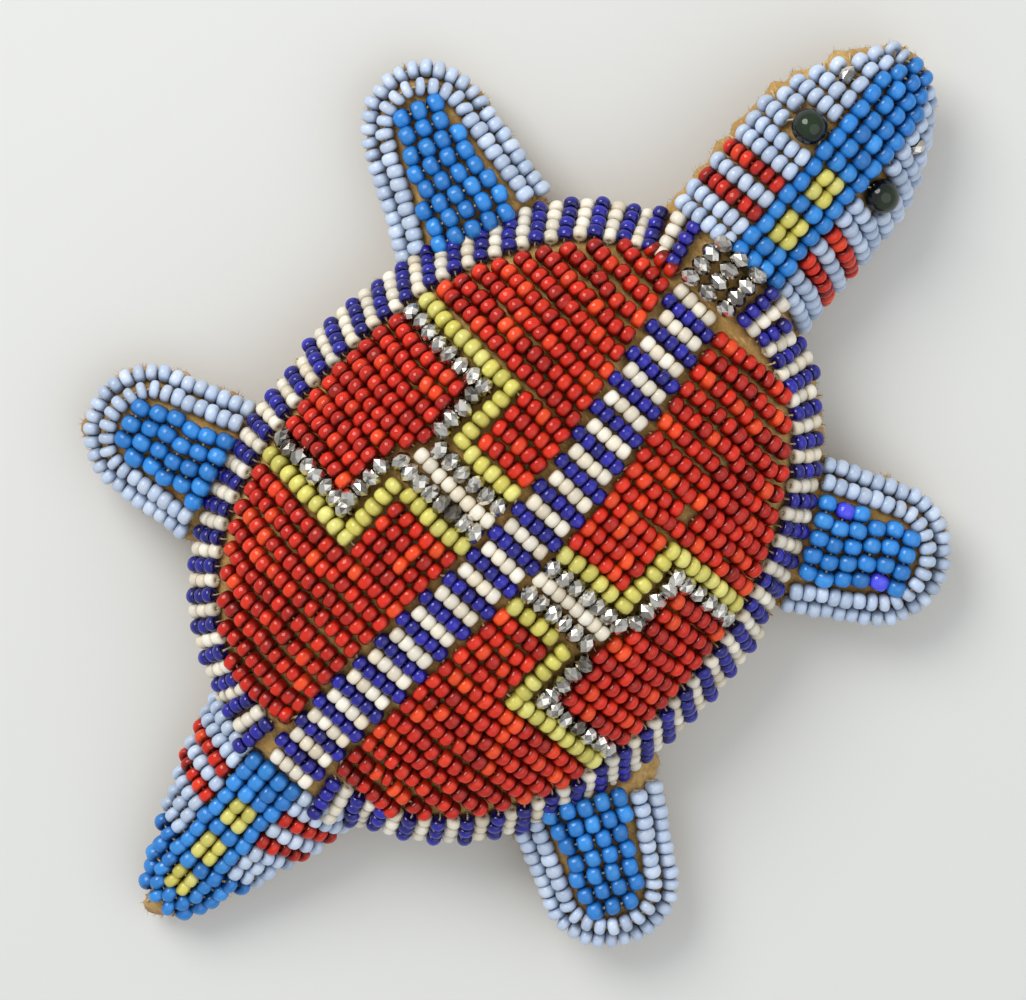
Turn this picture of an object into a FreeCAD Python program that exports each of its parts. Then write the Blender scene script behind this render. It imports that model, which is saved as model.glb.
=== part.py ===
import FreeCAD, Part
import math
import os
import random

# Stuffed hide turtle covered with lane-stitched seed beads.
# Millimetres. +Z up, the head points to -Y, the turtle's left side is +X.
# The origin is the middle of the footprint on the surface the belly rests on.

Vec = FreeCAD.Vector
UP = Vec(0, 0, 1)

# ------------------------------------------------------------ body
SHELL_X = 0.7             # centre of the body seen from above
SHELL_Y = 3.4
SHELL_HALF_WIDTH = 31.3
SHELL_HALF_LENGTH = 40.6
FRONT_ROUNDNESS = 2.15    # superellipse power of the outline, front half
REAR_ROUNDNESS = 2.4      # the rear half is squarer
DOME_HEIGHT = 13.4        # seam plane to the top of the back panel
DOME_INNER_POWER = 2.2
DOME_OUTER_POWER = 0.75
BELLY_DEPTH = 8.6
BELLY_INNER_POWER = 4.0
BELLY_OUTER_POWER = 0.5
REST_DEPTH = 8.0          # the belly is pressed flat at this depth
HIDE = 0.9                # hide thickness
INNER = 1.05              # the stuffing's depth under the hide's face
SEAM_Z = REST_DEPTH       # height of the seam plane above the floor

# ------------------------------------------------------------ beads
SEED = 20
HOLE = 0.55
SINEW = 0.34              # thickness of the sewing sinew
STITCH = 0.75             # radius of a seam stitch round the two edges of hide
SHY = 0.012               # random shift of a bead, mm
TURN = 0.8                # random turn of a bead, degrees
CLEAR = 0.05              # least gap between beads on one string

# width, length along the string, and room that a bead takes on its string
KINDS = {
    "navy": (1.84, 1.42, 1.49),
    "ivory": (1.8, 1.42, 1.49),
    "red": (1.95, 1.48, 1.55),
    "pale": (2.05, 1.48, 1.56),
    "blue": (2.14, 1.86, 1.96),
    "violet": (2.2, 1.9, 1.98),
    "yellow": (2.15, 1.6, 1.68),
    "metal": (2.35, 1.68, 1.78),
    "eye": (4.2, 3.8, 4.0),
}

# ------------------------------------------------------------ bead layout on the back
STRIPE_FRONT = -33.6      # first and last row of the centre stripe, from the body centre
STRIPE_REAR = 39.2
STRIPE_ROWS = 41          # ivory and navy by turns, ivory at both ends
STRIPE_HALF = 3.7
# per side: middle row's place, row spacing there, and its growth to the front and rear
FIELD = {"left": (0.5, 2.1, 0.0075, 0.0115), "right": (1.6, 2.05, 0.0045, 0.0107)}
FIELD_AHEAD = 16          # rows in front of the middle row, and behind it
FIELD_BEHIND = 15
LANE_SPLIT = 12.4         # inner and outer lane meet this far from the middle
# the same where a stepped figure turns its corner: in front of and behind its middle
CORNER = {"left": (10.0, 12.2), "right": (14.0, 12.6)}
# share of the way out where the red field ends and the rim starts, by place
FIELD_EDGE = [(-37, 0.93), (-32, 0.885), (-24, 0.855), (-10, 0.85), (5, 0.87), (30, 0.9),
              (37, 0.93)]
RIM_START = [(-39, 0.885), (-33, 0.895), (-24, 0.877), (-10, 0.872), (5, 0.892), (30, 0.915),
             (36, 0.915), (39, 0.9)]
RIM_FINISH = 0.99
COLLAR = 0.06             # the rim lies further out over the head and the tail
RIM_PAIRS = 63
NECK_FRONT = -42.5        # ends and spacing of the metal strings over the neck
NECK_REAR = -35.0
NECK_SPACING = 2.6
ROW_SHY = 0.05            # random shift of a row
ROW_BOW = 0.6             # outer row ends lie this much nearer the head
# bare hide between lanes: side, row from the middle, nearer and further limit
BARE = [("right", -8, 13.5, 15.3)]

rng = random.Random(SEED)
nodes = {}
runs = []                 # bead strings: (group of sinew, list of points)


# ------------------------------------------------------------ small helpers
def mix(a, b, share):
    return a + (b - a) * share


def along_table(table, value):
    """Straight-line reading of a short table of (place, value) pairs."""
    if value <= table[0][0]:
        return table[0][1]
    for (x0, y0), (x1, y1) in zip(table, table[1:]):
        if value <= x1:
            return mix(y0, y1, (value - x0) / (x1 - x0))
    return table[-1][1]


def smooth_max(a, b, blend=0.8):
    return 0.5 * (a + b + math.sqrt((a - b) ** 2 + blend ** 2))


# ------------------------------------------------------------ limbs
class Limb:
    """Head, tail or leg: a padded tongue of hide that starts in the body seam."""

    def __init__(self, root, heading, droop, roll, length, inside, width, top, under):
        self.root = Vec(root[0], root[1], root[2] + SEAM_Z)
        turn = FreeCAD.Rotation(UP, heading)
        flat = turn.multVec(Vec(1, 0, 0))
        side = turn.multVec(Vec(0, 1, 0))
        self.ahead = FreeCAD.Rotation(side, droop).multVec(flat)
        tip = FreeCAD.Rotation(self.ahead, roll)
        self.side = tip.multVec(side)
        self.up = self.ahead.cross(self.side)
        self.length = length
        self.inside = inside
        self.width = width
        self.top = top
        self.under = under

    def spot(self, s, angle, shrink=0.0):
        """Point on the hide; angle 0 is the +side seam, 90 the top, 180 the -side seam."""
        w = max(self.width(s) - shrink, 0.15)
        c = math.cos(math.radians(angle))
        k = math.sin(math.radians(angle))
        thick = self.top(s) if k >= 0 else self.under(s)
        h = max(thick - shrink, 0.1)
        return self.root + self.ahead * s + self.side * (w * c) + self.up * (h * k)

    def surface(self, s, angle, lift):
        step = 0.05
        ds = self.spot(s + step, angle) - self.spot(s - step, angle)
        da = self.spot(s, angle + 1) - self.spot(s, angle - 1)
        normal = ds.cross(da)
        normal.normalize()
        if normal.dot(self.spot(s, angle) - (self.root + self.ahead * (s - 0.2))) < 0:
            normal = normal * -1
        return self.spot(s, angle) + normal * lift

    def across(self, s, y, lift):
        """The same, from a sideways distance in place of an angle."""
        share = max(-0.985, min(0.985, y / max(self.width(s), 0.2)))
        return self.surface(s, math.degrees(math.acos(share)), lift)

    def top_over(self, x, y):
        """Height of the top over a point of the plan, far down where there is none."""
        rel = Vec(x, y, self.root.z) - self.root
        s = rel.dot(self.ahead)
        lateral = rel.dot(self.side)
        w = self.width(s)
        if s > self.length or abs(lateral) >= w:
            return -20.0
        rise = self.top(s) * math.sqrt(1 - (lateral / w) ** 2)
        buried = max(0.0, -1.0 - s)
        return self.root.z - SEAM_Z + rise - 0.03 * buried ** 2


def snout(length, start, full, power, finish):
    """Width or thickness that stays full as far as start, then closes to the tip."""
    def size(s):
        q = max(0.0, min(0.999, (s - start) / (length - start)))
        return full * (1 - q ** power) ** finish
    return size


def tongue(length, at_root, at_tip):
    """Width of a leg: even taper, then a round tip."""
    start = length - at_tip * 0.95

    def size(s):
        straight = mix(at_root, at_tip, max(0.0, min(1.0, s / start)))
        q = max(0.0, min(0.999, (s - start) / (length - start)))
        return straight * math.sqrt(1 - q ** 2)
    return size


HEAD_LENGTH = 31.8
TAIL_LENGTH = 27.0
head = Limb(root=(2.1, -37.6, -1.2), heading=-87.5, droop=0, roll=19, length=HEAD_LENGTH,
            inside=4.0, width=snout(HEAD_LENGTH, 15.5, 10.3, 1.5, 0.75),
            top=snout(HEAD_LENGTH, 13.5, 6.9, 1.9, 0.7),
            under=snout(HEAD_LENGTH, 13.5, 4.8, 1.9, 0.7))
tail = Limb(root=(1.0, 42.4, -1.4), heading=93, droop=8, roll=0, length=TAIL_LENGTH,
            inside=4.0, width=snout(29.5, 0.0, 10.2, 1.45, 1.0),
            top=snout(31.0, -4.0, 6.6, 1.0, 1.0),
            under=snout(31.0, -4.0, 4.2, 1.2, 1.0))


def leg(root, heading, length, at_root, at_tip):
    return Limb(root=(root[0], root[1], -1.2), heading=heading, droop=7, roll=0,
                length=length, inside=3.5, width=tongue(length, at_root, at_tip),
                top=tongue(length, 3.7, 2.9), under=tongue(length, 3.0, 2.4))


LEGS = {
    "front_left": leg((26.6, -18.8), -21.0, 20.8, 9.0, 6.6),
    "hind_left": leg((29.2, 22.9), 14.0, 17.2, 8.2, 7.0),
    "front_right": leg((-25.0, -18.7), 180 + 27.0, 17.8, 8.6, 7.6),
    "hind_right": leg((-28.2, 21.9), 180 - 32.0, 18.6, 8.3, 7.2),
}


# ------------------------------------------------------------ body surface
def outline_power(v):
    share = 0.5 + 0.5 * math.tanh(v / 8.0)
    return mix(FRONT_ROUNDNESS, REAR_ROUNDNESS, share)


def rho(u, v):
    """Share of the way from the body centre to the seam."""
    n = outline_power(v)
    return (abs(u / SHELL_HALF_WIDTH) ** n + abs(v / SHELL_HALF_LENGTH) ** n) ** (1 / n)


def half_width_at(v):
    n = outline_power(v)
    return SHELL_HALF_WIDTH * max(0.0, 1 - abs(v / SHELL_HALF_LENGTH) ** n) ** (1 / n)


def outline_point(angle, share):
    """Plan point at an angle around the body, at a share of the way out."""
    cu = math.cos(angle)
    cv = math.sin(angle)
    scale = share / rho(SHELL_HALF_WIDTH * cu, SHELL_HALF_LENGTH * cv)
    return SHELL_HALF_WIDTH * cu * scale, SHELL_HALF_LENGTH * cv * scale


def dome(u, v):
    r = min(rho(u, v), 1.0)
    return DOME_HEIGHT * (1 - r ** DOME_INNER_POWER) ** DOME_OUTER_POWER


def back(u, v):
    """Height of the back panel over the seam; it rides over the head and the tail."""
    z = dome(u, v)
    for limb in (head, tail):
        over = limb.top_over(u + SHELL_X, v + SHELL_Y)
        z = smooth_max(z, over + HIDE, 1.6)
    return z


def belly(u, v):
    r = min(rho(u, v), 1.0)
    return BELLY_DEPTH * (1 - r ** BELLY_INNER_POWER) ** BELLY_OUTER_POWER


def back_point(u, v, lift):
    """Point on the back panel, raised along its normal."""
    step = 0.15
    du = back(u + step, v) - back(u - step, v)
    dv = back(u, v + step) - back(u, v - step)
    normal = Vec(-du / (2 * step), -dv / (2 * step), 1)
    normal.normalize()
    base = Vec(u + SHELL_X, v + SHELL_Y, back(u, v) + SEAM_Z)
    return base + normal * lift


# ------------------------------------------------------------ beads
BARREL = [(0.72, -1.0), (1.0, -0.42), (1.0, 0.42), (0.72, 1.0)]
BALL = [(0.5, -1.0), (0.8, -0.72), (0.96, -0.34), (1.0, 0.0), (0.96, 0.34), (0.8, 0.72),
        (0.5, 1.0)]


def lathe_bead(width, length, profile):
    """A turned glass bead with a through hole; the profile is in shares of its size."""
    half = length / 2
    bore = HOLE / 2
    corners = [(bore, -half)]
    corners += [(r * width / 2, z * half) for r, z in profile]
    corners += [(bore, half), (bore, -half)]
    outline = Part.makePolygon([Vec(x, 0, z) for x, z in corners])
    return Part.Face(outline).revolve(Vec(0, 0, 0), UP, 360)


def cut_bead(width, length):
    """A faceted metal bead: two eight-sided tapers and a round hole."""
    rings = []
    for z, r in ((-length / 2, 0.62), (-length / 6, 1.0), (length / 6, 1.0), (length / 2, 0.62)):
        ring = []
        for i in range(9):
            a = math.pi * (i % 8) / 4
            ring.append(Vec(math.cos(a) * r * width / 2, math.sin(a) * r * width / 2, z))
        rings.append(Part.makePolygon(ring))
    body = Part.makeLoft(rings, True, True)
    return body.cut(Part.makeCylinder(HOLE / 2, length * 2, Vec(0, 0, -length)))


def bead(kind, centre, axis, room):
    """One bead of a kind; room is the length that its neighbours leave."""
    width, length, _ = KINDS[kind]
    width *= rng.uniform(0.96, 1.02)
    length = min(length * rng.uniform(0.94, 1.0), room)
    if kind == "metal":
        solid = cut_bead(width, length)
    else:
        solid = lathe_bead(width, length, BALL if kind == "eye" else BARREL)
    lean = Vec(rng.uniform(-1, 1), rng.uniform(-1, 1), rng.uniform(-1, 1))
    axis = axis + lean * math.sin(math.radians(TURN))
    axis.normalize()
    shift = Vec(rng.uniform(-1, 1), rng.uniform(-1, 1), rng.uniform(-1, 1)) * SHY
    spin = FreeCAD.Rotation(UP, rng.uniform(0, 360))
    turn = FreeCAD.Rotation(UP, axis).multiply(spin)
    solid.Placement = FreeCAD.Placement(centre + shift, turn)
    return solid


def add(node, solid):
    nodes.setdefault(node, []).append(solid)


def place_along(points, distances):
    """Points and directions at given distances along a run of points."""
    found = []
    travelled = 0.0
    i = 0
    for d in distances:
        while i < len(points) - 2 and travelled + (points[i + 1] - points[i]).Length < d:
            travelled += (points[i + 1] - points[i]).Length
            i += 1
        step = points[i + 1] - points[i]
        spot = points[i] + step * ((d - travelled) / step.Length)
        step.normalize()
        found.append((spot, step))
    return found


def rooms(places, widths):
    """Length left for each bead on a bent string, so that no two touch."""
    left = [99.0] * len(places)
    for i in range(len(places) - 1):
        (a, along_a), (b, along_b) = places[i], places[i + 1]
        bend = along_a.getAngle(along_b)
        shoulder = 0.42 * max(widths[i], widths[i + 1])
        gap = (b - a).Length - 2 * shoulder * math.tan(bend / 2) - CLEAR
        left[i] = min(left[i], gap)
        left[i + 1] = min(left[i + 1], gap)
    return left


def run_length(points):
    return sum((b - a).Length for a, b in zip(points, points[1:]))


def string(points, kinds, name_of, sinew, fill=False, centred=False, skip=None):
    """Thread beads along a run. kinds is one kind, or a list with one per bead."""
    room = run_length(points)
    if isinstance(kinds, str):
        pitch = KINDS[kinds][2]
        kinds = [kinds] * max(0, int((room + 0.45 * pitch) / pitch))
    if not kinds:
        return
    pitches = [KINDS[k][2] for k in kinds]
    need = sum(pitches)
    stretch = min(1.1, max(0.96, room / need)) if fill else 1.0
    start = (room - need * stretch) / 2 if centred else 0.0
    marks = []
    place = start
    for pitch in pitches:
        marks.append(place + pitch * stretch / 2)
        place += pitch * stretch
    places = place_along(points, marks)
    left = rooms(places, [KINDS[k][0] for k in kinds])
    for kind, (centre, axis), gap in zip(kinds, places, left):
        if skip is None or not skip(centre):
            add(name_of(kind), bead(kind, centre, axis, gap))
    ends = [max(0.0, start - 0.1), min(room, place + 0.1)]
    steps = max(3, len(kinds) // 3 + 2)
    spread = [mix(ends[0], ends[1], i / (steps - 1)) for i in range(steps)]
    runs.append((sinew, [p for p, _ in place_along(points, spread)]))


def relax(run, rounds=14):
    """Rounds off the folds of a raised run where the surface turns inward."""
    for _ in range(rounds):
        inner = [(run[i - 1] + run[i] * 2 + run[i + 1]) * 0.25 for i in range(1, len(run) - 1)]
        run = [run[0]] + inner + [run[-1]]
    return run


def back_run(u0, v0, u1, v1, lift, steps=24):
    """A run of raised points on the back, straight in plan."""
    run = []
    for i in range(steps + 1):
        share = i / steps
        run.append(back_point(mix(u0, u1, share), mix(v0, v1, share), lift))
    return relax(run)


def even_rows(u, first, last, count):
    """Row places that lie evenly on the curved back between two ends."""
    fine = 240
    vs = [mix(first, last, i / fine) for i in range(fine + 1)]
    path = [Vec(u, v, back(u, v)) for v in vs]
    total = run_length(path)
    marks = [total * i / (count - 1) for i in range(count)]
    return [p.y for p, _ in place_along(path, marks)]


# ------------------------------------------------------------ centre stripe
def stripe_centre(v):
    """The stripe wanders a little from the middle of the back."""
    return along_table([(-34, 1.9), (-26, 0.9), (-17, -0.6), (-9, -1.6), (4, -1.6),
                        (14, -0.9), (22, -0.6), (40, -0.5)], v)


def build_stripe():
    rows = even_rows(0.0, STRIPE_FRONT, STRIPE_REAR, STRIPE_ROWS)
    for k, v in enumerate(rows):
        kind = "navy" if k % 2 else "ivory"
        count = 5 if k % 2 else 4
        middle = stripe_centre(v) + rng.uniform(-0.15, 0.15)
        slant = rng.uniform(-0.12, 0.12)
        reach = 4.4
        run = back_run(middle + reach, v - slant, middle - reach, v + slant,
                       KINDS[kind][0] / 2)
        string(run, [kind] * count, lambda kd: "stripe_" + kd, "sinew_body", centred=True)


# ------------------------------------------------------------ red field and stepped figures
def field_edge(v):
    """Half-width of the red field at a row."""
    share = along_table(FIELD_EDGE, v)
    low, high = 0.0, SHELL_HALF_WIDTH
    for _ in range(30):
        mid = (low + high) / 2
        if rho(mid, v) < share:
            low = mid
        else:
            high = mid
    return low


def side_run(side, u0, u1, v, lift, wave=0.0):
    """A row on one side of the back between two distances from the middle."""
    steps = 24
    run = []
    for i in range(steps + 1):
        u = mix(u0, u1, i / steps)
        bow = ROW_BOW * (u / SHELL_HALF_WIDTH) ** 2
        ripple = wave * math.sin(math.pi * i / steps)
        run.append(back_point(side * u, v - bow + ripple, lift))
    return run


class FieldSide:
    """One half of the back: its rows, and the names of its bead groups."""

    def __init__(self, word, side):
        self.word = word
        self.side = side
        self.middle, self.pitch, self.front_growth, self.rear_growth = FIELD[word]

    def place(self, offset):
        growth = self.front_growth if offset < 0 else self.rear_growth
        return self.middle + offset * (self.pitch + growth * abs(offset))

    def name_of(self, kind):
        if kind == "red":
            return "field_red_" + self.word
        if kind == "ivory":
            return "steps_ivory"
        return "steps_" + kind + "_" + self.word

    def lane(self, u0, u1, offset, kind, outer=False):
        """One string of beads; neighbouring rows share the same slow wave."""
        wave = 0.3 * math.sin(0.45 * offset + (2.0 if outer else 0.0) + self.side)
        shift = 0.25 * math.sin(0.4 * offset) if outer and abs(offset) > 6 else 0.0
        v = self.place(offset) + shift + rng.uniform(-ROW_SHY, ROW_SHY)
        run = side_run(self.side, u0, u1, v, KINDS[kind][0] / 2, wave)

        def bare(centre):
            u = self.side * (centre.x - SHELL_X)
            for word, row, near, far in BARE:
                if word == self.word and row == offset and near < u < far:
                    return True
            return False
        string(run, kind, self.name_of, "sinew_body", fill=True, skip=bare)

    def column(self, u, v0, v1, kind, count):
        """Beads strung lengthwise where a stepped figure turns a corner."""
        run = []
        steps = 20
        for i in range(steps + 1):
            run.append(back_point(self.side * u, mix(v0, v1, i / steps), KINDS[kind][0] / 2))
        string(run, [kind] * count, self.name_of, "sinew_body", centred=True)

    def row(self, offset):
        """One row of the field: an inner lane and an outer lane."""
        v = self.place(offset)
        inner = self.side * stripe_centre(v) + STRIPE_HALF + 0.1
        outer = field_edge(v)
        away = abs(offset)
        if away > 6:
            if outer - inner < 9.5:
                self.lane(outer, inner, offset, "red")
                return
            split = LANE_SPLIT + rng.uniform(-1.2, 1.2)
            self.lane(inner, split, offset, "red")
            self.lane(outer, split + 0.1, offset, "red", True)
            return
        front, rear = CORNER[self.word]
        corner = front if offset < 0 else rear
        if offset == 0:
            corner = (front + rear) / 2
        if away > 2:
            self.lane(inner, corner - 0.1, offset, "red")
        elif away == 2:
            self.lane(inner, corner, offset, "yellow")
        elif away == 1:
            self.lane(inner, corner + 3.2, offset, "metal")
        else:
            self.lane(inner, corner + 3.0, offset, "ivory")
        if away == 6:
            self.lane(outer, corner + 0.3, offset, "yellow", True)
        elif away == 5:
            self.lane(outer, corner + 2.6, offset, "metal", True)
        else:
            start = corner + 4.9 if away > 1 else corner + 3.9
            self.lane(outer, start, offset, "red", True)

    def build(self):
        for offset in range(-FIELD_AHEAD, FIELD_BEHIND + 1):
            self.row(offset)
        for turn in (-1, 1):
            near = self.place(turn * 2) - turn * 0.2
            far = self.place(turn * 6) - turn * 1.1
            corner = CORNER[self.word][0 if turn < 0 else 1]
            self.column(corner + 1.2, near, far, "yellow", 5)
            near = self.place(turn) + turn * 1.2
            far = self.place(turn * 5) - turn * 0.9
            self.column(corner + 3.7, near, far, "metal", 4)


def build_field():
    FieldSide("left", 1).build()
    FieldSide("right", -1).build()


# ------------------------------------------------------------ rim
def build_rim():
    """Short rows across the steep edge of the back, navy and ivory by turns."""
    fine = 1440
    ring = [outline_point(2 * math.pi * i / fine, 0.94) for i in range(fine + 1)]
    path = [Vec(u, v, 0) for u, v in ring]
    total = run_length(path)
    count = RIM_PAIRS * 2
    marks = [total * i / count for i in range(count)]
    for k, (spot, _) in enumerate(place_along(path, marks)):
        u, v = spot.x, spot.y
        middle = stripe_centre(STRIPE_FRONT if v < 0 else STRIPE_REAR)
        if abs(v) > SHELL_HALF_LENGTH / 2 and abs(u - middle) < 4.9:
            continue
        angle = math.atan2(v / SHELL_HALF_LENGTH, u / SHELL_HALF_WIDTH)
        collar = COLLAR * math.exp(-((u - middle) / 10.0) ** 2) if abs(v) > 20 else 0.0
        u0, v0 = outline_point(angle, along_table(RIM_START, v))
        u1, v1 = outline_point(angle, RIM_FINISH + collar)
        lean = 0.5 - 1.4 * (u / SHELL_HALF_WIDTH)
        weight = 1 - (abs(v) / SHELL_HALF_LENGTH) ** 2
        kind = "navy" if k % 2 else "ivory"
        lift = KINDS[kind][0] / 2 + (0.2 if kind == "navy" else -0.12)
        run = back_run(u0, v0 - lean * weight * 0.3, u1, v1 + lean * weight, lift)
        string(run, kind, lambda kd: "rim_" + kd, "sinew_body")


def build_neck():
    """Three short strings of metal beads where the stripe meets the head."""
    middle = stripe_centre(STRIPE_FRONT)
    for i in (-1, 0, 1):
        u = middle + i * NECK_SPACING
        run = back_run(u, NECK_FRONT, u, NECK_REAR, KINDS["metal"][0] / 2)
        string(run, ["metal"] * 4, lambda kd: "neck_metal", "sinew_body", centred=True)


# ------------------------------------------------------------ head and tail
def section_run(limb, s, lift, bow):
    """A run across a limb from seam to seam over the top; bow is (+side, -side)."""
    run = []
    for angle in range(4, 177, 4):
        amount = bow[0] if angle < 90 else bow[1]
        back_off = amount * math.cos(math.radians(angle)) ** 2
        run.append(limb.surface(s - back_off, angle, lift))
    return run


def cut_run(points, start, end):
    room = run_length(points)
    start = max(0.0, start)
    end = min(room, end)
    if end - start < 0.6:
        return []
    steps = 20
    marks = [mix(start, end, i / steps) for i in range(steps + 1)]
    return [p for p, _ in place_along(points, marks)]


def banded_row(limb, row, middle_share, prefix, bow, margins, gap=(0.0, 0.0), stud=False):
    """A centre group of beads with side rows out to both seams; gap is (+side, -side)."""
    s, centre, side_kind = row
    sinew = "sinew_" + prefix[:-1]
    run = section_run(limb, s, KINDS["blue"][0] / 2, bow)
    room = run_length(run)
    half = sum(KINDS[k][2] for k in centre) / 2
    middle = room * middle_share

    def name_of(kind):
        return prefix + kind
    string(cut_run(run, middle - half - 0.05, middle + half + 0.05), centre, name_of, sinew,
           centred=True)
    side = section_run(limb, s, KINDS[side_kind][0] / 2, bow)
    inner = half + 0.04
    pieces = [list(reversed(cut_run(side, margins[0], middle - inner - gap[0]))),
              cut_run(side, middle + inner + gap[1], room - margins[1])]
    pitch = KINDS[side_kind][2]
    for piece in pieces:
        if not piece or run_length(piece) < pitch:
            continue
        count = int((run_length(piece) + 0.35 * pitch) / pitch)
        kinds = [side_kind] * count
        if stud and count > 2:
            kinds[1] = "metal"
        string(piece, kinds, name_of, sinew, fill=True)


BLUES = ["blue"] * 4
FLOWER = ["blue", "yellow", "yellow", "blue"]
# place along the limb, centre group, kind of the side rows
HEAD_ROWS = [
    (1.3, BLUES, "pale"), (3.5, BLUES, "pale"), (5.6, FLOWER, "red"),
    (7.7, FLOWER, "pale"), (9.9, BLUES, "red"), (12.0, FLOWER, "pale"),
    (14.1, FLOWER, "pale"), (16.2, BLUES, "pale"), (18.3, BLUES, "pale"),
    (20.4, BLUES, "pale"), (22.5, BLUES, "pale"), (24.6, BLUES, "pale"),
    (26.6, BLUES, "pale"), (28.4, ["blue"] * 3, "pale"), (30.1, ["blue"] * 2, "pale"),
]
TAIL_ROWS = [
    (1.8, BLUES, "pale"), (3.8, BLUES, "pale"), (5.8, BLUES, "red"),
    (7.9, FLOWER, "pale"), (9.9, FLOWER, "red"), (11.9, BLUES, "pale"),
    (14.0, FLOWER, "pale"), (15.9, FLOWER, "pale"), (18.0, BLUES, "blue"),
    (19.9, FLOWER, "blue"), (21.7, FLOWER, "blue"), (23.4, ["blue"] * 3, "blue"),
    (25.0, ["blue"] * 2, "blue"),
]
STRIPE_ON_HEAD = 0.465    # the blue stripe lies a little nearer the left seam
HEAD_BOW = (0.2, 2.4)     # rows reach back towards the seams: left, right
EYE_ALONG = 17.2
# room that the left and the right eye take in the rows beside them
EYE_GAP = {16.2: (4.6, 4.6), 18.3: (4.6, 4.6), 20.4: (0.3, 0.3)}
STUD_ALONG = 24.6         # a metal bead on each side of the snout


def build_head():
    for row in HEAD_ROWS:
        gap = EYE_GAP.get(row[0], (0.0, 0.0))
        banded_row(head, row, STRIPE_ON_HEAD, "head_", HEAD_BOW, (0.9, 0.3), gap,
                   row[0] == STUD_ALONG)
    for word, shift in (("left", -6.3), ("right", 6.6)):
        path = section_run(head, EYE_ALONG, KINDS["eye"][0] * 0.38, HEAD_BOW)
        (centre, axis), = place_along(path, [run_length(path) * STRIPE_ON_HEAD + shift])
        add("eye_" + word, bead("eye", centre, axis, KINDS["eye"][1]))


def build_tail():
    for row in TAIL_ROWS:
        banded_row(tail, row, 0.5, "tail_", (1.0, 1.2), (0.4, 0.4))


# ------------------------------------------------------------ legs
def border_run(limb, inset, start):
    """A U-shaped run along the leg's edge, from the body round the tip and back."""
    tip_start = limb.length - limb.width(0) * 0.8
    reach = limb.length - inset - tip_start
    half = limb.width(tip_start) - inset
    run = []
    steps = 16
    lift = KINDS["pale"][0] / 2
    for i in range(steps):
        s = mix(start, tip_start, i / steps)
        run.append(limb.across(s, limb.width(s) - inset, lift))
    for i in range(steps * 2 + 1):
        a = math.pi * i / (steps * 2)
        run.append(limb.across(tip_start + reach * math.sin(a), half * math.cos(a), lift))
    for i in range(steps):
        s = mix(tip_start, start, (i + 1) / steps)
        run.append(limb.across(s, -(limb.width(s) - inset), lift))
    return run


LEG_INSETS = (0.5, 2.12)  # how far in from the leg's edge the two border strings lie
LEG_MIDDLE = 3.3          # and where the blue rows end
LEG_SPACING = 2.2         # between blue rows
# odd violet beads: leg, then (row from the tip, place in the row)
VIOLET_SPOTS = {"front_right": ((1, 3), (4, 0), (2, 4))}


def build_leg(word, limb):
    sinew = "sinew_legs"
    for inset, start in zip(LEG_INSETS, (0.6, 0.9)):
        string(border_run(limb, inset, start), "pale", lambda kd: "leg_border_" + word, sinew,
               fill=True)
    first = 0.6
    last = limb.length - 4.7
    count = int((last - first) / LEG_SPACING) + 1
    for k in range(count):
        s = last - LEG_SPACING * k
        half = limb.width(s) - LEG_MIDDLE
        beads = max(3, int(2 * half / KINDS["blue"][2] + 0.3))
        offset = 0.15 if k % 2 else -0.15
        run = []
        for i in range(21):
            y = mix(half, -half, i / 20) + offset
            run.append(limb.across(s, y, KINDS["blue"][0] / 2))
        kinds = ["blue"] * beads
        for column_at, bead_at in VIOLET_SPOTS.get(word, ()):
            if column_at == k and bead_at < beads:
                kinds[bead_at] = "violet"

        def name_of(kind):
            return "leg_violet_" + word if kind == "violet" else "leg_field_" + word
        string(run, kinds, name_of, sinew, fill=True, centred=True)


# ------------------------------------------------------------ hide, stuffing and seams
def spline(points):
    curve = Part.BSplineCurve()
    curve.interpolate(points)
    return curve.toShape()


def crescent(outer, inner):
    """Closed section between two arcs that share a seam line."""
    return Part.Wire([spline(outer), Part.makeLine(outer[-1], inner[-1]),
                      spline(list(reversed(inner))), Part.makeLine(inner[0], outer[0])])


def lens(upper, lower):
    """Closed section made of an upper and a lower arc with the same ends."""
    return Part.Wire([spline(upper), spline(lower)])


def pillow(upper, lower):
    """Closed smooth section through an upper and a lower arc with the same ends."""
    curve = Part.BSplineCurve()
    curve.interpolate(Points=upper + list(reversed(lower))[1:-1], PeriodicFlag=True)
    return Part.Wire([curve.toShape()])


ARC_STEPS = 16


def body_arc(v, side, shrink, height):
    """Section of the body at v: side +1 is the back, -1 the belly."""
    half = max(half_width_at(v) - shrink, 0.4)
    arc = []
    for i in range(ARC_STEPS + 1):
        u = half * math.cos(math.pi * i / ARC_STEPS)
        scale = half_width_at(v) / half
        z = max(height(u * scale, v) - shrink, 0.0) * side
        arc.append(Vec(u + SHELL_X, v + SHELL_Y, z + SEAM_Z))
    return arc


def body_stations(shrink):
    reach = SHELL_HALF_LENGTH - shrink
    return [reach * math.sin(math.radians(a)) for a in (-84, -76, -66, -54, -40, -24, -8,
                                                        8, 24, 40, 54, 66, 76, 84)]


def body_layer(share, z):
    """Level outline of the stuffing where the hide is at a share of the way out."""
    points = []
    steps = 28
    inset = (SHELL_HALF_WIDTH - INNER) / SHELL_HALF_WIDTH
    for i in range(steps):
        u, v = outline_point(2 * math.pi * (i + 0.5) / steps, share * inset)
        points.append(Vec(u + SHELL_X, v + SHELL_Y, z + SEAM_Z))
    curve = Part.BSplineCurve()
    curve.interpolate(Points=points, PeriodicFlag=True)
    return Part.Wire([curve.toShape()])


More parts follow.
